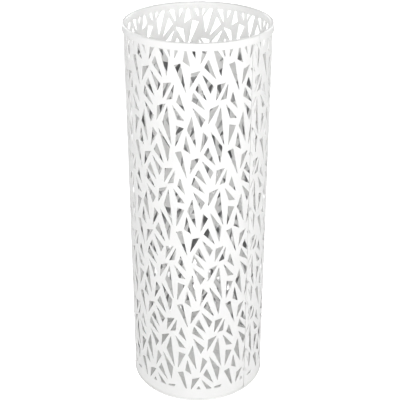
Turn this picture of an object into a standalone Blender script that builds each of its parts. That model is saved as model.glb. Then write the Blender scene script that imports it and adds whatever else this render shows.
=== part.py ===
"""A round umbrella stand of punched sheet steel.

A flat sheet with slender triangular holes is rolled into a tube whose ends overlap in one
upright seam.  The tube stands in a pressed base pan on four rubber feet, a folded edging
ring covers its upper edge, and a drip tray lies loose on the pan.

The front is -Y, +Z is up, and the origin is at the centre of the footprint.
"""

from math import cos, pi, radians, sin

import bmesh
import bpy
from mathutils import Vector
from mathutils.geometry import delaunay_2d_cdt

MM = 0.001

# Driving dimensions of the whole stand
OUTER_RADIUS = 101.3 * MM
HEIGHT = 557 * MM
GAP = 0.3 * MM  # between pieces that touch
ROUND_STEPS = 60

# The rolled wall
WALL_SHEET = 0.8 * MM
WALL_OUTER_RADIUS = 99.1 * MM
SEAM_ANGLE = radians(45)  # where the outer end lies, right of the front
OVERLAP_ANGLE = radians(6.4)
JOGGLE_LENGTH = 14 * MM  # where the inner end steps in under the outer one
END_MARGIN = 1.5 * MM
HOLES_BOTTOM = 24 * MM
HOLES_TOP = 548 * MM
SMALLEST_HOLE = 45 * MM**2

# The hole pattern: nine equal tiles fill the length of the sheet
TILES_ROUND = 9
ROW_PITCH = 118.7 * MM
FIRST_ROW_TOP = 529.1 * MM
ROWS = range(-1, 5)
PATTERN_START = -19.8 * MM
TILE_HOLES_MM = (  # corners, across from the tile's left and down from its top
    ((41, 2), (49.5, -0.5), (57.5, 41)),
    ((74.5, 8), (63, 11.5), (60.5, 33)),
    ((6, 12), (22, 29.5), (17.5, 39.5)),
    ((2.5, 24), (-2.5, 33.5), (13, 48.5)),
    ((26, 27.5), (37.5, 25.5), (24.5, 49.5)),
    ((41, 26.5), (38.5, 47), (30, 49.5)),
    ((66, 36), (63, 48), (81, 61)),
    ((47.5, 39), (43.5, 51), (55, 63.5)),
    ((29, 54.5), (16.5, 59.5), (14.5, 81)),
    ((37.5, 54), (54, 76), (44, 75)),
    ((64, 56.5), (81, 74), (75.5, 85)),
    ((31, 57), (23.5, 81.5), (36.5, 112.5)),
    ((64, 68.5), (57, 88), (69.5, 114)),
    ((43, 83), (53, 86), (41.5, 113.5)),
    ((8, 90.5), (15, 98.5), (4, 120.5)),
    ((17, 88.5), (34, 113.5), (31, 137)),
    ((56, 95), (62, 122), (52.5, 115.5)),
    ((14.5, 112), (9, 122.5), (25, 140)),
)

# The edging ring
RIM_SHEET = 1 * MM
RIM_HEIGHT = 10 * MM
RIM_WIDTH = 5.4 * MM
RIM_CORNER = 1.8 * MM
RIM_JOINT_ANGLE = radians(49.8)

# The base pan
PAN_SHEET = 0.6 * MM
PAN_UNDERSIDE = 2 * MM
PAN_SKIRT_TOP = 7 * MM
PAN_CORNER = 2 * MM

# The drip tray
TRAY_RADIUS = 94.5 * MM
TRAY_WALL = 1.5 * MM
TRAY_HEIGHT = 16 * MM
TRAY_CORNER = 4 * MM
TRAY_RING_RADIUS = 60 * MM
TRAY_RING_HEIGHT = 2.6 * MM

# The feet
FOOT_CIRCLE_RADIUS = 80 * MM
FOOT_ANGLES = (45, 135, 225, 315)
FOOT_RADIUS = 9 * MM
STEM_RADIUS = 3 * MM
BARB_RADIUS = 4.4 * MM
BARB_HEIGHT = 1.8 * MM
FOOT_STEPS = 16

MID_RADIUS = WALL_OUTER_RADIUS - WALL_SHEET / 2
SHEET_LENGTH = MID_RADIUS * (2 * pi + OVERLAP_ANGLE)
OVERLAP = MID_RADIUS * OVERLAP_ANGLE
LAYER_STEP = WALL_SHEET + GAP
WALL_BOTTOM = PAN_UNDERSIDE + PAN_CORNER + GAP
WALL_TOP = HEIGHT - RIM_CORNER - GAP
PAN_RADIUS = WALL_OUTER_RADIUS + GAP + PAN_SHEET
PAN_FLOOR = PAN_UNDERSIDE + PAN_SHEET


def finish(name, colour, roughness, metallic=0.0):
    """A plain material of one colour."""
    material = bpy.data.materials.new(name)
    material.use_nodes = True
    shader = material.node_tree.nodes["Principled BSDF"]
    shader.inputs["Base Color"].default_value = (*colour, 1)
    shader.inputs["Roughness"].default_value = roughness
    shader.inputs["Metallic"].default_value = metallic
    return material


def add_object(name, mesh, material, parent):
    """Link a mesh as a named object with its material."""
    piece = bpy.data.objects.new(name, mesh)
    bpy.context.collection.objects.link(piece)
    piece.parent = parent
    if not mesh.materials:
        mesh.materials.append(material)
    return piece


def arc(centre, radius, start, end, steps):
    """Points on an arc in the (radius, height) plane, angles in degrees."""
    angles = [radians(start + (end - start) * i / steps) for i in range(steps + 1)]
    return [(centre[0] + radius * cos(a), centre[1] + radius * sin(a)) for a in angles]


def outline_mesh(name, outline, closed):
    """The edges of an outline of (radius, height) points, standing in the XZ plane."""
    mesh = bpy.data.meshes.new(name)
    count = len(outline)
    edges = [(i, (i + 1) % count) for i in range(count if closed else count - 1)]
    mesh.from_pydata([(r, 0, z) for r, z in outline], edges, [])
    return mesh


def turned(piece, steps):
    """Turn an object's outline round the Z axis."""
    screw = piece.modifiers.new("Turned", "SCREW")
    screw.steps = steps
    screw.render_steps = steps
    screw.use_merge_vertices = True
    screw.merge_threshold = 0.00001
    screw.use_smooth_shade = True


# --- the rolled wall ---------------------------------------------------------------


def clipped(polygon, axis, limit, keep_above):
    """The part of a polygon on one side of a line across the given axis."""
    kept = []
    for here, there in zip(polygon, polygon[1:] + polygon[:1]):
        inside = (here[axis] >= limit) == keep_above
        if inside:
            kept.append(here)
        if inside != ((there[axis] >= limit) == keep_above):
            share = (limit - here[axis]) / (there[axis] - here[axis])
            kept.append(here.lerp(there, share))
    return kept


def area(polygon):
    """The area of a polygon, positive if its corners run anticlockwise."""
    following = polygon[1:] + polygon[:1]
    return sum(a.cross(b) for a, b in zip(polygon, following)) / 2


def punched_holes():
    """Every hole of the flat sheet, cut short at the sheet's plain borders."""
    tile_width = SHEET_LENGTH / TILES_ROUND
    borders = (
        (0, END_MARGIN, True),
        (0, SHEET_LENGTH - END_MARGIN, False),
        (1, HOLES_BOTTOM, True),
        (1, HOLES_TOP, False),
    )
    holes = []
    for column in range(-1, TILES_ROUND + 1):
        for row in ROWS:
            left = PATTERN_START + column * tile_width
            top = FIRST_ROW_TOP - row * ROW_PITCH
            for corners in TILE_HOLES_MM:
                hole = [Vector((left + x * MM, top - y * MM)) for x, y in corners]
                if area(hole) < 0:
                    hole.reverse()
                for border in borders:
                    hole = clipped(hole, *border)
                if area(hole) > SMALLEST_HOLE:
                    holes.append(hole)
    return holes


def sheet_edge():
    """The outline of the flat sheet, with points along the edges that will be round."""
    along = [SHEET_LENGTH * i / ROUND_STEPS for i in range(ROUND_STEPS + 1)]
    bottom = [Vector((s, WALL_BOTTOM)) for s in along]
    top = [Vector((s, WALL_TOP)) for s in reversed(along)]
    return bottom + top


def rolled(flat):
    """Where a point of the flat sheet (along, up, outward) comes to lie on the tube."""
    along, height, outward = flat
    start = end = along
    if along < OVERLAP:
        start, end = 0, OVERLAP
    elif along > SHEET_LENGTH - OVERLAP:
        start, end = SHEET_LENGTH - OVERLAP, SHEET_LENGTH
    to_seam = (SHEET_LENGTH - OVERLAP - along) / JOGGLE_LENGTH
    stepped_in = 1 - min(max(to_seam, 0), 1)
    radius = WALL_OUTER_RADIUS - WALL_SHEET + outward - LAYER_STEP * stepped_in
    ends = []
    for place in (start, end):
        angle = SEAM_ANGLE + place / MID_RADIUS
        ends.append(Vector((radius * sin(angle), -radius * cos(angle), height)))
    share = (along - start) / (end - start) if end > start else 0
    return ends[0].lerp(ends[1], share)


def make_wall(material, parent):
    """Punch the flat sheet, give it its thickness and roll it up."""
    points = []
    outlines = []
    for polygon in [sheet_edge()] + punched_holes():
        outlines.append(list(range(len(points), len(points) + len(polygon))))
        points += polygon
    bends = []
    for along in (OVERLAP, SHEET_LENGTH - OVERLAP):
        bends.append((len(points), len(points) + 1))
        points += [Vector((along, WALL_BOTTOM)), Vector((along, WALL_TOP))]
    corners, _, faces, _, _, sources = delaunay_2d_cdt(points, bends, outlines, 1, 1e-7)
    form = bmesh.new()
    verts = [form.verts.new((x, y, 0)) for x, y in corners]
    for face, source in zip(faces, sources):
        if source == [0]:
            form.faces.new([verts[i] for i in face])
    bmesh.ops.delete(form, geom=[v for v in form.verts if not v.link_faces], context="VERTS")
    outside = bmesh.ops.extrude_face_region(form, geom=form.faces[:])["geom"]
    raised = [part for part in outside if isinstance(part, bmesh.types.BMVert)]
    bmesh.ops.translate(form, vec=(0, 0, WALL_SHEET), verts=raised)
    for vert in form.verts:
        vert.co = rolled(vert.co)
    bmesh.ops.recalc_face_normals(form, faces=form.faces)
    mesh = bpy.data.meshes.new("perforated_wall")
    form.to_mesh(mesh)
    form.free()
    mesh.shade_smooth()
    mesh.set_sharp_from_angle(angle=radians(35))
    return add_object("perforated_wall", mesh, material, parent)


# --- the edging ring ---------------------------------------------------------------


def make_rim(material, parent):
    """A U-shaped ring over the wall's upper edge, whose ends meet at the seam."""
    inner = OUTER_RADIUS - RIM_WIDTH
    low = HEIGHT - RIM_HEIGHT
    centre_out = (OUTER_RADIUS - RIM_CORNER, HEIGHT - RIM_CORNER)
    centre_in = (inner + RIM_CORNER, HEIGHT - RIM_CORNER)
    bend = RIM_CORNER - RIM_SHEET
    outline = [(OUTER_RADIUS, low)]
    outline += arc(centre_out, RIM_CORNER, 0, 90, 2)
    outline += arc(centre_in, RIM_CORNER, 90, 180, 2)
    outline += [(inner, low), (inner + RIM_SHEET, low)]
    outline += arc(centre_in, bend, 180, 90, 1)
    outline += arc(centre_out, bend, 90, 0, 1)
    outline += [(OUTER_RADIUS - RIM_SHEET, low)]

    form = bmesh.new()
    joint = GAP / OUTER_RADIUS
    start = RIM_JOINT_ANGLE + joint / 2
    verts = [form.verts.new((r * sin(start), -r * cos(start), z)) for r, z in outline]
    end_face = form.faces.new(verts)
    bmesh.ops.spin(
        form,
        geom=[end_face, *end_face.edges, *end_face.verts],
        cent=(0, 0, 0),
        axis=(0, 0, 1),
        angle=2 * pi - joint,
        steps=ROUND_STEPS,
    )
    bmesh.ops.recalc_face_normals(form, faces=form.faces)
    mesh = bpy.data.meshes.new("top_rim")
    form.to_mesh(mesh)
    form.free()
    mesh.shade_smooth()
    mesh.set_sharp_from_angle(angle=radians(50))
    return add_object("top_rim", mesh, material, parent)


# --- the base pan ------------------------------------------------------------------


def foot_places():
    """The centres of the feet under the pan."""
    angles = [radians(a) for a in FOOT_ANGLES]
    return [(FOOT_CIRCLE_RADIUS * cos(a), FOOT_CIRCLE_RADIUS * sin(a)) for a in angles]


def make_pan(material, parent):
    """A pressed pan with a low skirt, pierced for the stems of the feet."""
    corner = (PAN_RADIUS - PAN_CORNER, PAN_UNDERSIDE + PAN_CORNER)
    outline = [(0, PAN_FLOOR)]
    outline += arc(corner, PAN_CORNER - PAN_SHEET, -90, 0, 2)
    outline += [(PAN_RADIUS - PAN_SHEET, PAN_SKIRT_TOP), (PAN_RADIUS, PAN_SKIRT_TOP)]
    outline += arc(corner, PAN_CORNER, 0, -90, 3)
    outline += [(0, PAN_UNDERSIDE)]
    pan = add_object("base_pan", outline_mesh("base_pan", outline, False), material, parent)
    turned(pan, ROUND_STEPS)
    for number, (x, y) in enumerate(foot_places(), 1):
        form = bmesh.new()
        bmesh.ops.create_cone(
            form,
            cap_ends=True,
            segments=FOOT_STEPS,
            radius1=STEM_RADIUS + GAP,
            radius2=STEM_RADIUS + GAP,
            depth=4 * PAN_SHEET,
        )
        mesh = bpy.data.meshes.new("stem_hole")
        form.to_mesh(mesh)
        form.free()
        cutter = add_object(f"stem_hole_{number}", mesh, material, parent)
        cutter.location = (x, y, PAN_UNDERSIDE + PAN_SHEET / 2)
        cutter.hide_render = True
        cutter.display_type = "WIRE"
        hole = pan.modifiers.new(f"Stem hole {number}", "BOOLEAN")
        hole.operation = "DIFFERENCE"
        hole.object = cutter
    return pan


# --- the drip tray -----------------------------------------------------------------


def make_tray(material, parent):
    """A shallow moulded tray that stands on a ring under its floor."""
    base = PAN_FLOOR + GAP
    floor = base + TRAY_RING_HEIGHT
    top = floor + TRAY_HEIGHT
    corner = (TRAY_RADIUS - TRAY_CORNER, floor + TRAY_CORNER)
    ring_out = TRAY_RING_RADIUS + TRAY_WALL
    outline = [(0, floor + TRAY_WALL)]
    outline += arc(corner, TRAY_CORNER - TRAY_WALL, -90, 0, 3)
    outline += [(TRAY_RADIUS - TRAY_WALL, top), (TRAY_RADIUS, top)]
    outline += arc(corner, TRAY_CORNER, 0, -90, 4)
    outline += [(ring_out, floor), (ring_out, base), (TRAY_RING_RADIUS, base)]
    outline += [(TRAY_RING_RADIUS, floor), (0, floor)]
    tray = add_object("drip_tray", outline_mesh("drip_tray", outline, False), material, parent)
    turned(tray, ROUND_STEPS)
    return tray


# --- the feet ----------------------------------------------------------------------


def make_feet(material, parent):
    """Four rubber feet, each held in the pan by a barb above its stem."""
    shoulder = PAN_UNDERSIDE - GAP
    barb = PAN_FLOOR + GAP
    outline = [(0, barb + BARB_HEIGHT), (BARB_RADIUS - 1 * MM, barb + BARB_HEIGHT)]
    outline += [(BARB_RADIUS, barb), (STEM_RADIUS, barb), (STEM_RADIUS, shoulder)]
    outline += [(FOOT_RADIUS, shoulder), (FOOT_RADIUS - 0.6 * MM, 0), (0, 0)]
    mesh = outline_mesh("foot", outline, False)
    for number, (x, y) in enumerate(foot_places(), 1):
        foot = add_object(f"foot_{number}", mesh, material, parent)
        foot.location = (x, y, 0)
        turned(foot, FOOT_STEPS)


for old in list(bpy.data.objects):
    bpy.data.objects.remove(old, do_unlink=True)

stand = bpy.data.objects.new("umbrella_stand", None)
bpy.context.collection.objects.link(stand)

white_powder_coat = finish("white_powder_coat", (0.90, 0.90, 0.89), 0.45)
white_plastic = finish("white_plastic", (0.82, 0.82, 0.81), 0.4)
grey_rubber = finish("grey_rubber", (0.10, 0.10, 0.10), 0.8)

make_wall(white_powder_coat, stand)
make_rim(white_powder_coat, stand)
make_pan(white_powder_coat, stand)
make_tray(white_plastic, stand)
make_feet(grey_rubber, stand)
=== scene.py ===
from math import cos, pi, radians, sin, tan, tau

import bmesh
import bpy
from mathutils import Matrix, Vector
from mathutils.geometry import delaunay_2d_cdt


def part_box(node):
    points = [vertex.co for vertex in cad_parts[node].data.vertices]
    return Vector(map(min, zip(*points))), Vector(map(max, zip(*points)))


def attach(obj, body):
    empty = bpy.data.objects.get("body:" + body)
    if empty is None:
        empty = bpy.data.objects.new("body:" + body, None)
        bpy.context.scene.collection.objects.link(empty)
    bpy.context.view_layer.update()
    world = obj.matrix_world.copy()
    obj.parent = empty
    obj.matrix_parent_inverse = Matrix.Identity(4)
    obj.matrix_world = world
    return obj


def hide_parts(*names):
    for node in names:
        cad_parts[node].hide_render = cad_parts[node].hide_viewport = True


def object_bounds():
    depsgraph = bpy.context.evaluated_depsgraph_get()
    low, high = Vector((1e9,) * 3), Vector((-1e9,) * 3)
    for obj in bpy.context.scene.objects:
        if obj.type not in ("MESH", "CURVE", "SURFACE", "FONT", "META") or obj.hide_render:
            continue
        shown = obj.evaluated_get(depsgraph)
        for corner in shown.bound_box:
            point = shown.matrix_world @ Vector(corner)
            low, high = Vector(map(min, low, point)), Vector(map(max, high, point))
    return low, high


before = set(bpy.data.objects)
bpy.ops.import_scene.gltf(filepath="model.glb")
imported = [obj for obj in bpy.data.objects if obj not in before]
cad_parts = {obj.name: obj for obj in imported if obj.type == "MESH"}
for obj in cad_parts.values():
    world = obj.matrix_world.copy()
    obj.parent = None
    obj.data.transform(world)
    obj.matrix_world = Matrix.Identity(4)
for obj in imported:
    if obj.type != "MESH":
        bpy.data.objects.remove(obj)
cad_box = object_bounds()


# --- The base pan -----------------------------------------------------------------
# One disc of 0.6 mm steel sheet, pressed into a shallow pan whose skirt grips the lower
# edge of the tube.  The real pan is pierced for the four feet, but the pan drawn here has no holes; it
# is powder coated white all over.

MM = 0.001
ROUND_STEPS = 160
PAN_SHEET = 0.6 * MM
PAN_CORNER = 2 * MM
PAN_EDGE = 0.25 * MM
PAN_LOW, PAN_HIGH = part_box("base_pan")
FOOT_CENTRES = [
    ((low[0] + high[0]) / 2, (low[1] + high[1]) / 2)
    for low, high in (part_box(f"foot_{number}") for number in range(1, 5))
]
WHITE_COAT = (0.88, 0.88, 0.875, 1)
COAT_SHADE = (0.83, 0.83, 0.82, 1)
DUST = (0.62, 0.60, 0.56, 1)
DUST_SPECKS_PER_METRE = 90.0
MOTTLE_RANGE = (0.3, 0.7)


def filleted(corners, steps, closed=True):
    """An outline of (x, y, radius) corners, each rounded by an arc of its own radius."""
    points = []
    last = len(corners) - 1
    for i, (x, y, radius) in enumerate(corners):
        here = Vector((x, y))
        if radius == 0 or (not closed and i in (0, last)):
            points.append(here)
            continue
        back = (Vector(corners[i - 1][:2]) - here).normalized()
        forth = (Vector(corners[(i + 1) % (last + 1)][:2]) - here).normalized()
        half = back.angle(forth) / 2
        centre = here + (back + forth).normalized() * radius / sin(half)
        first_spoke = here + back * radius / tan(half) - centre
        last_spoke = here + forth * radius / tan(half) - centre
        for step in range(steps + 1):
            spoke = first_spoke.lerp(last_spoke, step / steps)
            points.append(centre + spoke.normalized() * radius)
    return points


def add_piece(name, form, sharp_above):
    """A finished form as a smooth-shaded object with sharp folds."""
    bmesh.ops.recalc_face_normals(form, faces=form.faces)
    mesh = bpy.data.meshes.new(name)
    form.to_mesh(mesh)
    form.free()
    mesh.shade_smooth()
    mesh.set_sharp_from_angle(angle=radians(sharp_above))
    piece = bpy.data.objects.new(name, mesh)
    bpy.context.collection.objects.link(piece)
    return piece


def lathed(outline, steps):
    """A form turned round the Z axis from an open outline that ends on that axis."""
    form = bmesh.new()
    verts = [form.verts.new((x, 0, z)) for x, z in outline]
    edges = [form.edges.new(pair) for pair in zip(verts, verts[1:])]
    bmesh.ops.spin(
        form, geom=verts + edges, axis=(0, 0, 1), angle=tau, steps=steps, use_merge=True
    )
    bmesh.ops.remove_doubles(form, verts=form.verts, dist=0.001 * MM)
    return form


def new_group(name, inputs, outputs):
    """An empty shader node group with named number sockets."""
    tree = bpy.data.node_groups.new(name, "ShaderNodeTree")
    for label, value in inputs:
        socket = tree.interface.new_socket(label, in_out="INPUT", socket_type="NodeSocketFloat")
        socket.default_value = value
    for label in outputs:
        tree.interface.new_socket(label, in_out="OUTPUT", socket_type="NodeSocketFloat")
    return tree


def add_node(tree, kind, operation=None, **values):
    """A node whose named inputs are set to a value or linked from another node's socket."""
    node = tree.nodes.new(kind)
    if operation:
        node.operation = operation
    for label, value in values.items():
        key = int(label[1:]) if label[0] == "i" and label[1:].isdigit() else label.replace("_", " ")
        socket = node.inputs[key]
        if isinstance(value, bpy.types.NodeSocket):
            tree.links.new(value, socket)
        else:
            socket.default_value = value
    return node


# Skin: the fine unevenness that every finish here has, as a height and a mottle.
skin = new_group("skin", (("Grain size", 0.001), ("Mottle size", 0.03)), ("Height", "Mottle"))
skin_in = skin.nodes.new("NodeGroupInput")
skin_out = skin.nodes.new("NodeGroupOutput")
place = skin.nodes.new("ShaderNodeTexCoord").outputs["Object"]
grain_scale = add_node(skin, "ShaderNodeMath", "DIVIDE", i0=1.0, i1=skin_in.outputs["Grain size"])
grain = add_node(
    skin, "ShaderNodeTexNoise", Vector=place, Scale=grain_scale.outputs[0], Detail=2.0, Roughness=0.45
)
mottle_scale = add_node(skin, "ShaderNodeMath", "DIVIDE", i0=1.0, i1=skin_in.outputs["Mottle size"])
mottle = add_node(
    skin, "ShaderNodeTexNoise", Vector=place, Scale=mottle_scale.outputs[0], Detail=4.0, Roughness=0.6
)
skin.links.new(grain.outputs["Fac"], skin_out.inputs["Height"])
skin.links.new(mottle.outputs["Fac"], skin_out.inputs["Mottle"])

# Settled dust: a thin grey veil that gathers close to the floor.
dust = new_group("settled_dust", (("Reach", 0.03), ("Amount", 0.2)), ("Dust",))
dust_in = dust.nodes.new("NodeGroupInput")
dust_out = dust.nodes.new("NodeGroupOutput")
place = dust.nodes.new("ShaderNodeTexCoord").outputs["Object"]
height = add_node(dust, "ShaderNodeSeparateXYZ", Vector=place).outputs["Z"]
low = add_node(
    dust,
    "ShaderNodeMapRange",
    Value=height,
    From_Max=dust_in.outputs["Reach"],
    To_Min=1.0,
    To_Max=0.0,
)
specks = add_node(
    dust, "ShaderNodeTexNoise", Vector=place, Scale=DUST_SPECKS_PER_METRE, Detail=5.0, Roughness=0.65
)
broken = add_node(dust, "ShaderNodeMath", "MULTIPLY", i0=low.outputs[0], i1=specks.outputs["Fac"])
veil = add_node(dust, "ShaderNodeMath", "MULTIPLY", i0=broken.outputs[0], i1=dust_in.outputs["Amount"])
dust.links.new(veil.outputs[0], dust_out.inputs["Dust"])


def skinned_material(name, colours, roughness, grain, mottle, bump, dust_values):
    """A finish of two near colours under a fine skin, with a little dust low down."""
    material = bpy.data.materials.new(name)
    material.use_nodes = True
    tree = material.node_tree
    shader = tree.nodes["Principled BSDF"]
    skin_node = tree.nodes.new("ShaderNodeGroup")
    skin_node.node_tree = skin
    skin_node.inputs["Grain size"].default_value = grain
    skin_node.inputs["Mottle size"].default_value = mottle
    dust_node = tree.nodes.new("ShaderNodeGroup")
    dust_node.node_tree = dust
    dust_node.inputs["Reach"].default_value = dust_values[0]
    dust_node.inputs["Amount"].default_value = dust_values[1]
    base = tree.nodes.new("ShaderNodeMix")
    base.data_type = "RGBA"
    base.inputs["A"].default_value = colours[0]
    base.inputs["B"].default_value = colours[1]
    tree.links.new(skin_node.outputs["Mottle"], base.inputs["Factor"])
    dusty = tree.nodes.new("ShaderNodeMix")
    dusty.data_type = "RGBA"
    dusty.inputs["B"].default_value = DUST
    tree.links.new(base.outputs["Result"], dusty.inputs["A"])
    tree.links.new(dust_node.outputs["Dust"], dusty.inputs["Factor"])
    tree.links.new(dusty.outputs["Result"], shader.inputs["Base Color"])
    gloss = add_node(
        tree,
        "ShaderNodeMapRange",
        Value=skin_node.outputs["Mottle"],
        From_Min=MOTTLE_RANGE[0],
        From_Max=MOTTLE_RANGE[1],
        To_Min=roughness[0],
        To_Max=roughness[1],
    )
    tree.links.new(gloss.outputs[0], shader.inputs["Roughness"])
    relief = add_node(
        tree, "ShaderNodeBump", Height=skin_node.outputs["Height"], Strength=1.0, Distance=bump
    )
    tree.links.new(relief.outputs[0], shader.inputs["Normal"])
    return material


powder_coat = skinned_material(
    "white_powder_coat",
    colours=(WHITE_COAT, COAT_SHADE),
    roughness=(0.36, 0.48),
    grain=1.1 * MM,
    mottle=35 * MM,
    bump=0.012 * MM,
    dust_values=(25 * MM, 0.12),
)

pan_outline = filleted(
    (
        (0, PAN_LOW[2] + PAN_SHEET, 0),
        (PAN_HIGH[0] - PAN_SHEET, PAN_LOW[2] + PAN_SHEET, PAN_CORNER - PAN_SHEET),
        (PAN_HIGH[0] - PAN_SHEET, PAN_HIGH[2], PAN_EDGE),
        (PAN_HIGH[0], PAN_HIGH[2], PAN_EDGE),
        (PAN_HIGH[0], PAN_LOW[2], PAN_CORNER),
        (0, PAN_LOW[2], 0),
    ),
    steps=8,
    closed=False,
)
base_pan = add_piece("pressed_base_pan", lathed(pan_outline, ROUND_STEPS), sharp_above=30)
base_pan.data.materials.append(powder_coat)
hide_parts("base_pan")
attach(base_pan, "stand")


# --- The feet ---------------------------------------------------------------------
# Four soft rubber buttons.  Each is pushed up through a hole in the pan until the barb
# above its stem springs out and holds it.

FOOT_STEPS = 48
FOOT_LOW, FOOT_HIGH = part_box("foot_1")
FOOT_RADIUS = (FOOT_HIGH[0] - FOOT_LOW[0]) / 2
FOOT_CLEARANCE = 0.3 * MM
STEM_RADIUS = 3 * MM
BARB_RADIUS = 4.4 * MM
BARB_TAPER = 1.3 * MM
FOOT_TAPER = 0.5 * MM
TREAD_RINGS = 3
TREAD_DEPTH = 0.35 * MM
TREAD_MARGIN = 1.2 * MM
RUBBER = (0.075, 0.075, 0.078, 1)
RUBBER_BLOOM = (0.13, 0.13, 0.13, 1)

rubber = skinned_material(
    "grey_rubber",
    colours=(RUBBER, RUBBER_BLOOM),
    roughness=(0.7, 0.88),
    grain=0.5 * MM,
    mottle=6 * MM,
    bump=0.03 * MM,
    dust_values=(4 * MM, 0.5),
)

shoulder = PAN_LOW[2] - FOOT_CLEARANCE
barb_foot = PAN_LOW[2] + PAN_SHEET + FOOT_CLEARANCE
foot_corners = [
    (0, FOOT_HIGH[2], 0),
    (BARB_RADIUS - BARB_TAPER, FOOT_HIGH[2], 0.7 * MM),
    (BARB_RADIUS, barb_foot, 0.2 * MM),
    (STEM_RADIUS, barb_foot, 0.05 * MM),
    (STEM_RADIUS, shoulder, 0.05 * MM),
    (FOOT_RADIUS, shoulder, 0.35 * MM),
    (FOOT_RADIUS - FOOT_TAPER, FOOT_LOW[2], 0.4 * MM),
]
for ring in range(TREAD_RINGS, 0, -1):
    edge = (FOOT_RADIUS - TREAD_MARGIN) * ring / (TREAD_RINGS + 0.5)
    for radius, depth in ((edge, 0), (edge - 0.3 * MM, 1), (edge - 0.7 * MM, 1), (edge - 1 * MM, 0)):
        foot_corners.append((radius, FOOT_LOW[2] + depth * TREAD_DEPTH, 0.08 * MM))
foot_corners.append((0, FOOT_LOW[2], 0))
foot_outline = filleted(foot_corners, steps=4, closed=False)
feet = []
for number, (x, y) in enumerate(FOOT_CENTRES, 1):
    foot = add_piece(f"rubber_foot_{number}", lathed(foot_outline, FOOT_STEPS), sharp_above=40)
    foot.data.materials.append(rubber)
    foot.location = (x, y, 0)
    feet.append(foot)
    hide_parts(f"foot_{number}")
    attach(foot, "stand")


# --- The punched wall -------------------------------------------------------------
# A single steel sheet, 0.8 mm thick, punched with slender triangles and rolled into a
# tube.  Its inner end steps in under the outer end; the real ends are spot welded, but no welds are
# drawn here.

WALL_SHEET = 0.8 * MM
WALL_OUTER_RADIUS = 99.1 * MM
LAYER_STEP = 1.1 * MM
SEAM_ANGLE = radians(45)
OVERLAP_ANGLE = radians(6.4)
JOGGLE_LENGTH = 14 * MM
END_MARGIN = 1.5 * MM
HOLES_BOTTOM = 24 * MM
HOLES_TOP = 548 * MM
SMALLEST_HOLE = 3 * MM**2
HOLE_CORNER = 0.35 * MM
HOLE_EDGE = 0.12 * MM
BEND_STEP = 5 * MM
WALL_LOW, WALL_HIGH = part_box("perforated_wall")

TILES_ROUND = 9
ROWS = range(-1, 5)
ROW_PITCH = 118.7 * MM
FIRST_ROW_TOP = 529.1 * MM
PATTERN_START = -19.8 * MM
TILE_HOLES_MM = (  # corners, across from the tile's left and down from its top
    ((41, 2), (49.5, -0.5), (57.5, 41)),
    ((74.5, 8), (63, 11.5), (60.5, 33)),
    ((6, 12), (22, 29.5), (17.5, 39.5)),
    ((2.5, 24), (-2.5, 33.5), (13, 48.5)),
    ((26, 27.5), (37.5, 25.5), (24.5, 49.5)),
    ((41, 26.5), (38.5, 47), (30, 49.5)),
    ((66, 36), (63, 48), (81, 61)),
    ((47.5, 39), (43.5, 51), (55, 63.5)),
    ((29, 54.5), (16.5, 59.5), (14.5, 81)),
    ((37.5, 54), (54, 76), (44, 75)),
    ((64, 56.5), (81, 74), (75.5, 85)),
    ((31, 57), (23.5, 81.5), (36.5, 112.5)),
    ((64, 68.5), (57, 88), (69.5, 114)),
    ((43, 83), (53, 86), (41.5, 113.5)),
    ((8, 90.5), (15, 98.5), (4, 120.5)),
    ((17, 88.5), (34, 113.5), (31, 137)),
    ((56, 95), (62, 122), (52.5, 115.5)),
    ((14.5, 112), (9, 122.5), (25, 140)),
)
WALL_MID_RADIUS = WALL_OUTER_RADIUS - WALL_SHEET / 2
SHEET_LENGTH = WALL_MID_RADIUS * (tau + OVERLAP_ANGLE)
OVERLAP = WALL_MID_RADIUS * OVERLAP_ANGLE


def area(polygon):
    """The area of a polygon, positive if its corners run anticlockwise."""
    following = polygon[1:] + polygon[:1]
    return sum(a.cross(b) for a, b in zip(polygon, following)) / 2


def clipped(polygon, axis, limit, keep_above):
    """The part of a polygon on one side of a line across the given axis."""
    kept = []
    for here, there in zip(polygon, polygon[1:] + polygon[:1]):
        inside = (here[axis] >= limit) == keep_above
        if inside:
            kept.append(here)
        if inside != ((there[axis] >= limit) == keep_above):
            share = (limit - here[axis]) / (there[axis] - here[axis])
            kept.append(here.lerp(there, share))
    return kept


def punched_holes():
    """Every hole of the flat sheet, cut short at its plain borders and softly cornered."""
    borders = (
        (0, END_MARGIN, True),
        (0, SHEET_LENGTH - END_MARGIN, False),
        (1, HOLES_BOTTOM, True),
        (1, HOLES_TOP, False),
    )
    for column in range(-1, TILES_ROUND + 1):
        for row in ROWS:
            left = PATTERN_START + column * SHEET_LENGTH / TILES_ROUND
            top = FIRST_ROW_TOP - row * ROW_PITCH
            for corners in TILE_HOLES_MM:
                hole = [Vector((left + x * MM, top - y * MM)) for x, y in corners]
                if area(hole) < 0:
                    hole.reverse()
                for border in borders:
                    hole = clipped(hole, *border)
                if area(hole) > SMALLEST_HOLE:
                    yield filleted([(x, y, HOLE_CORNER) for x, y in hole], steps=3)


def rolled(flat):
    """Where a point of the flat sheet (along, up, outward) comes to lie on the tube."""
    along, height, outward = flat
    to_seam = (SHEET_LENGTH - OVERLAP - along) / JOGGLE_LENGTH
    share = 1 - min(max(to_seam, 0), 1)
    stepped_in = LAYER_STEP * share * share * (3 - 2 * share)
    radius = WALL_OUTER_RADIUS - WALL_SHEET + outward - stepped_in
    angle = SEAM_ANGLE + along / WALL_MID_RADIUS
    return Vector((radius * sin(angle), -radius * cos(angle), height))


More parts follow.
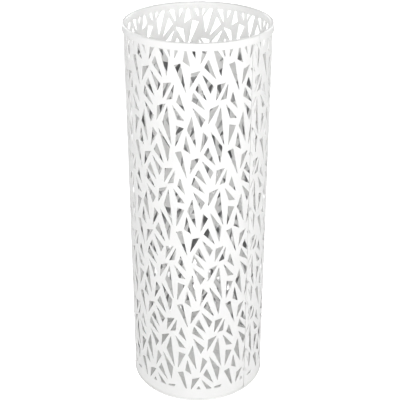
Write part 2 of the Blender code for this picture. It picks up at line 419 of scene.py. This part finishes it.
edge_steps = round(SHEET_LENGTH / BEND_STEP)
along = [SHEET_LENGTH * i / edge_steps for i in range(edge_steps + 1)]
sheet_edge = [Vector((s, WALL_LOW[2])) for s in along]
sheet_edge += [Vector((s, WALL_HIGH[2])) for s in reversed(along)]
points = []
outlines = []
for polygon in [sheet_edge, *punched_holes()]:
    outlines.append(list(range(len(points), len(points) + len(polygon))))
    points += polygon
bends = [(i, 2 * edge_steps + 1 - i) for i in range(1, edge_steps)]
flat_points, _, flat_faces, _, _, sources = delaunay_2d_cdt(points, bends, outlines, 1, 1e-7)
form = bmesh.new()
verts = [form.verts.new((x, y, 0)) for x, y in flat_points]
for face, source in zip(flat_faces, sources):
    if source == [0]:
        form.faces.new([verts[i] for i in face])
bmesh.ops.delete(form, geom=[v for v in form.verts if not v.link_faces], context="VERTS")
outside = bmesh.ops.extrude_face_region(form, geom=form.faces[:])["geom"]
raised = [part for part in outside if isinstance(part, bmesh.types.BMVert)]
bmesh.ops.translate(form, vec=(0, 0, WALL_SHEET), verts=raised)
form.normal_update()
rims = [
    edge
    for edge in form.edges
    if len({abs(face.normal.z) > 0.5 for face in edge.link_faces}) == 2
]
bmesh.ops.bevel(form, geom=rims, offset=HOLE_EDGE, segments=1, affect="EDGES", clamp_overlap=True)
for vert in form.verts:
    vert.co = rolled(vert.co)
wall = add_piece("punched_wall", form, sharp_above=35)
wall.data.materials.append(powder_coat)
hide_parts("perforated_wall")
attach(wall, "stand")


# --- The edging ring --------------------------------------------------------------
# A U-shaped strip of 1 mm steel folded over the tube's sharp upper edge.  Its slanted
# ends meet with a hairline gap over the seam.

RIM_SHEET = 1 * MM
RIM_WIDTH = 5.4 * MM
RIM_BEND = 1.9 * MM
RIM_EDGE = 0.25 * MM
RIM_JOINT_ANGLE = radians(49.8)
RIM_JOINT_GAP = 0.5 * MM
RIM_JOINT_SLANT = 0.22
RIM_SLANT_REACH = 12 * MM
RIM_LOW, RIM_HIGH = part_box("top_rim")
RIM_RADIUS = cad_box[1][0]

rim_in = RIM_RADIUS - RIM_WIDTH
rim_outline = filleted(
    (
        (RIM_RADIUS, RIM_LOW[2], RIM_EDGE),
        (RIM_RADIUS, RIM_HIGH[2], RIM_BEND),
        (rim_in, RIM_HIGH[2], RIM_BEND),
        (rim_in, RIM_LOW[2], RIM_EDGE),
        (rim_in + RIM_SHEET, RIM_LOW[2], RIM_EDGE),
        (rim_in + RIM_SHEET, RIM_HIGH[2] - RIM_SHEET, RIM_BEND - RIM_SHEET),
        (RIM_RADIUS - RIM_SHEET, RIM_HIGH[2] - RIM_SHEET, RIM_BEND - RIM_SHEET),
        (RIM_RADIUS - RIM_SHEET, RIM_LOW[2], RIM_EDGE),
    ),
    steps=6,
)
form = bmesh.new()
verts = [form.verts.new((0, -r, z)) for r, z in rim_outline]
end_face = form.faces.new(verts)
rim_sweep = tau - RIM_JOINT_GAP / RIM_RADIUS
bmesh.ops.spin(
    form,
    geom=[end_face, *end_face.edges, *end_face.verts],
    axis=(0, 0, 1),
    angle=rim_sweep,
    steps=ROUND_STEPS * 2,
)
for vert in form.verts:
    x, y, z = vert.co
    turn = Vector((0, -1)).angle_signed(Vector((x, y)), 0) * -1 % tau
    if turn > rim_sweep + 0.001:
        turn = 0
    from_joint = min(turn, rim_sweep - turn) * RIM_RADIUS
    pull = max(0, 1 - from_joint / RIM_SLANT_REACH)
    turn += RIM_JOINT_SLANT * pull * (RIM_HIGH[2] - z) / RIM_RADIUS + RIM_JOINT_ANGLE
    r = (x * x + y * y) ** 0.5
    vert.co = (r * sin(turn), -r * cos(turn), z)
rim = add_piece("edging_ring", form, sharp_above=30)
rim.data.materials.append(powder_coat)
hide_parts("top_rim")
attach(rim, "stand")


# --- The drip tray ----------------------------------------------------------------
# A loose moulded tray that catches the water.  It stands on a ring under its floor, and
# low ribs on the floor keep the umbrellas' tips out of the wet.

TRAY_WALL = 1.5 * MM
TRAY_CORNER = 4 * MM
TRAY_EDGE = 0.6 * MM
TRAY_RING_RADIUS = 60 * MM
TRAY_RING_HEIGHT = 2.6 * MM
TRAY_RIB_RADII_MM = (20, 38, 56, 74)
TRAY_RIB_HEIGHT = 0.9 * MM
TRAY_RIB_HALF_WIDTH = 0.9 * MM
TRAY_LOW, TRAY_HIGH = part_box("drip_tray")
PLASTIC = (0.80, 0.80, 0.79, 1)
PLASTIC_SHADE = (0.74, 0.745, 0.74, 1)

plastic = skinned_material(
    "white_plastic",
    colours=(PLASTIC, PLASTIC_SHADE),
    roughness=(0.34, 0.46),
    grain=0.35 * MM,
    mottle=50 * MM,
    bump=0.008 * MM,
    dust_values=(12 * MM, 0.3),
)

tray_floor = TRAY_LOW[2] + TRAY_RING_HEIGHT
floor_top = tray_floor + TRAY_WALL
tray_corners = [(0, floor_top, 0)]
for rib in TRAY_RIB_RADII_MM:
    for offset, rise in ((-1.6, 0), (-1, 1), (1, 1), (1.6, 0)):
        radius = rib * MM + offset * TRAY_RIB_HALF_WIDTH
        tray_corners.append((radius, floor_top + rise * TRAY_RIB_HEIGHT, 0.3 * MM))
tray_corners += [
    (TRAY_HIGH[0] - TRAY_WALL, floor_top, TRAY_CORNER - TRAY_WALL),
    (TRAY_HIGH[0] - TRAY_WALL, TRAY_HIGH[2], TRAY_EDGE),
    (TRAY_HIGH[0], TRAY_HIGH[2], TRAY_EDGE),
    (TRAY_HIGH[0], tray_floor, TRAY_CORNER),
    (TRAY_RING_RADIUS + TRAY_WALL, tray_floor, 0.4 * MM),
    (TRAY_RING_RADIUS + TRAY_WALL, TRAY_LOW[2], 0.4 * MM),
    (TRAY_RING_RADIUS, TRAY_LOW[2], 0.4 * MM),
    (TRAY_RING_RADIUS, tray_floor, 0.4 * MM),
    (0, tray_floor, 0),
]
tray_outline = filleted(tray_corners, steps=4, closed=False)
tray = add_piece("moulded_drip_tray", lathed(tray_outline, ROUND_STEPS), sharp_above=35)
tray.data.materials.append(plastic)
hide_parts("drip_tray")
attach(tray, "drip_tray")


# --- The floor --------------------------------------------------------------------
# A plain white studio floor.  It shows white, throws only a little light back up, and
# fades into the white surround a few metres off.

FLOOR_REACH = 40
FLOOR_COLOURS = ((0.82, 0.82, 0.82, 1), (0.79, 0.79, 0.79, 1))
FLOOR_SPILL = (0.21, 0.21, 0.21, 1)
FADE_START = 3.0
FADE_END = 7.0

form = bmesh.new()
bmesh.ops.create_grid(form, x_segments=1, y_segments=1, size=FLOOR_REACH)
studio_floor = add_piece("studio_floor", form, sharp_above=30)
floor_paint = bpy.data.materials.new("floor_paint")
floor_paint.use_nodes = True
tree = floor_paint.node_tree
spot = tree.nodes.new("ShaderNodeTexCoord").outputs["Object"]
patches = add_node(tree, "ShaderNodeTexNoise", Vector=spot, Scale=3.0, Detail=3.0)
paint = tree.nodes.new("ShaderNodeMix")
paint.data_type = "RGBA"
paint.inputs["A"].default_value = FLOOR_COLOURS[0]
paint.inputs["B"].default_value = FLOOR_COLOURS[1]
tree.links.new(patches.outputs["Fac"], paint.inputs["Factor"])
floor_shader = tree.nodes["Principled BSDF"]
seen_paint = tree.nodes.new("ShaderNodeMix")
seen_paint.data_type = "RGBA"
seen_paint.inputs["A"].default_value = FLOOR_SPILL
tree.links.new(paint.outputs["Result"], seen_paint.inputs["B"])
seen = tree.nodes.new("ShaderNodeLightPath").outputs["Is Camera Ray"]
tree.links.new(seen, seen_paint.inputs["Factor"])
tree.links.new(seen_paint.outputs["Result"], floor_shader.inputs["Base Color"])
distance = add_node(tree, "ShaderNodeVectorMath", "LENGTH", Vector=spot).outputs["Value"]
fade = add_node(tree, "ShaderNodeMapRange", Value=distance, From_Min=FADE_START, From_Max=FADE_END)
glow = add_node(tree, "ShaderNodeMath", "MULTIPLY", i0=fade.outputs[0], i1=seen)
tree.links.new(glow.outputs[0], floor_shader.inputs["Emission Strength"])
floor_shader.inputs["Emission Color"].default_value = (1, 1, 1, 1)
floor_shader.inputs["Roughness"].default_value = 0.9
floor_shader.inputs["Specular IOR Level"].default_value = 0.1
studio_floor.data.materials.append(floor_paint)


# --- The light --------------------------------------------------------------------
# Soft panels round the stand light it evenly.  Two lamps light only the floor: one low in
# front, which throws the stand's shadow straight back, and one over the floor behind that.

PANELS = (  # azimuth from the front, elevation, distance, side, watts
    (-58, 15, 2.2, 1.2, 23),
    (58, 15, 2.2, 1.2, 27),
    (0, 28, 2.0, 0.8, 14),
    (150, 30, 2.4, 1.4, 31),
    (-150, 30, 2.4, 1.4, 31),
)
PANEL_AIM_HEIGHT = 0.28
FLOOR_LAMP_PLACE = (0, -1.5, 0.7)
FLOOR_LAMP_RADIUS = 0.02
FLOOR_LAMP_WATTS = 252
BACK_LAMP_PLACE = (0, 2.45, 1.2)
BACK_LAMP_CONE = radians(70)
BACK_LAMP_EDGE = 0.1
BACK_LAMP_WATTS = 160
SURROUND = 0.08

stand_pieces = bpy.data.collections.new("stand_pieces")
for piece in (base_pan, wall, rim, tray, *feet):
    stand_pieces.objects.link(piece)
floor_only = bpy.data.collections.new("floor_only")
floor_only.objects.link(studio_floor)

for number, (azimuth, elevation, distance, side, watts) in enumerate(PANELS, 1):
    light = bpy.data.lights.new(f"panel_{number}", "AREA")
    light.shape = "SQUARE"
    light.size = side
    light.energy = watts
    panel = bpy.data.objects.new(f"panel_{number}", light)
    bpy.context.collection.objects.link(panel)
    turn = radians(azimuth)
    rise = radians(elevation)
    away = Vector((sin(turn) * cos(rise), -cos(turn) * cos(rise), sin(rise)))
    panel.location = Vector((0, 0, PANEL_AIM_HEIGHT)) + distance * away
    panel.rotation_euler = away.to_track_quat("Z", "Y").to_euler()
    panel.light_linking.receiver_collection = stand_pieces

lamp_light = bpy.data.lights.new("floor_lamp", "POINT")
lamp_light.energy = FLOOR_LAMP_WATTS
lamp_light.shadow_soft_size = FLOOR_LAMP_RADIUS
lamp_light.use_nodes = True
tree = lamp_light.node_tree
even = add_node(tree, "ShaderNodeLightFalloff", Strength=1.0)  # as bright far off as near by
tree.links.new(even.outputs["Constant"], tree.nodes["Emission"].inputs["Strength"])
lamp = bpy.data.objects.new("floor_lamp", lamp_light)
bpy.context.collection.objects.link(lamp)
lamp.location = FLOOR_LAMP_PLACE
lamp.light_linking.receiver_collection = floor_only

back_light = bpy.data.lights.new("back_lamp", "SPOT")
back_light.energy = BACK_LAMP_WATTS
back_light.spot_size = BACK_LAMP_CONE
back_light.spot_blend = BACK_LAMP_EDGE
back_light.shadow_soft_size = FLOOR_LAMP_RADIUS
back_lamp = bpy.data.objects.new("back_lamp", back_light)
bpy.context.collection.objects.link(back_lamp)
back_lamp.location = BACK_LAMP_PLACE
back_lamp.light_linking.receiver_collection = floor_only

world = bpy.data.worlds.new("studio")
bpy.context.scene.world = world
world.use_nodes = True
tree = world.node_tree
surround = tree.nodes["Background"]
surround.inputs["Color"].default_value = (1, 1, 1, 1)
seen = tree.nodes.new("ShaderNodeLightPath").outputs["Is Camera Ray"]
level = add_node(tree, "ShaderNodeMapRange", Value=seen, To_Min=SURROUND, To_Max=1.0)
tree.links.new(level.outputs[0], surround.inputs["Strength"])
bpy.context.scene.view_settings.view_transform = "Standard"


# --- The camera -------------------------------------------------------------------
# A long lens a little over a metre away, looking down on the stand.

CAMERA_DISTANCE = 1.18908
CAMERA_HEIGHT = 0.89539
CAMERA_PITCH = 0.4707
LENS_MM = 82.49
SENSOR_MM = 36
LENS_SHIFT = 0.0050

camera_data = bpy.data.cameras.new("camera")
camera_data.lens = LENS_MM
camera_data.sensor_width = SENSOR_MM
camera_data.shift_x = LENS_SHIFT
camera = bpy.data.objects.new("camera", camera_data)
bpy.context.collection.objects.link(camera)
camera.location = (0, -CAMERA_DISTANCE, CAMERA_HEIGHT)
camera.rotation_euler = (pi / 2 - CAMERA_PITCH, 0, 0)
bpy.context.scene.camera = camera
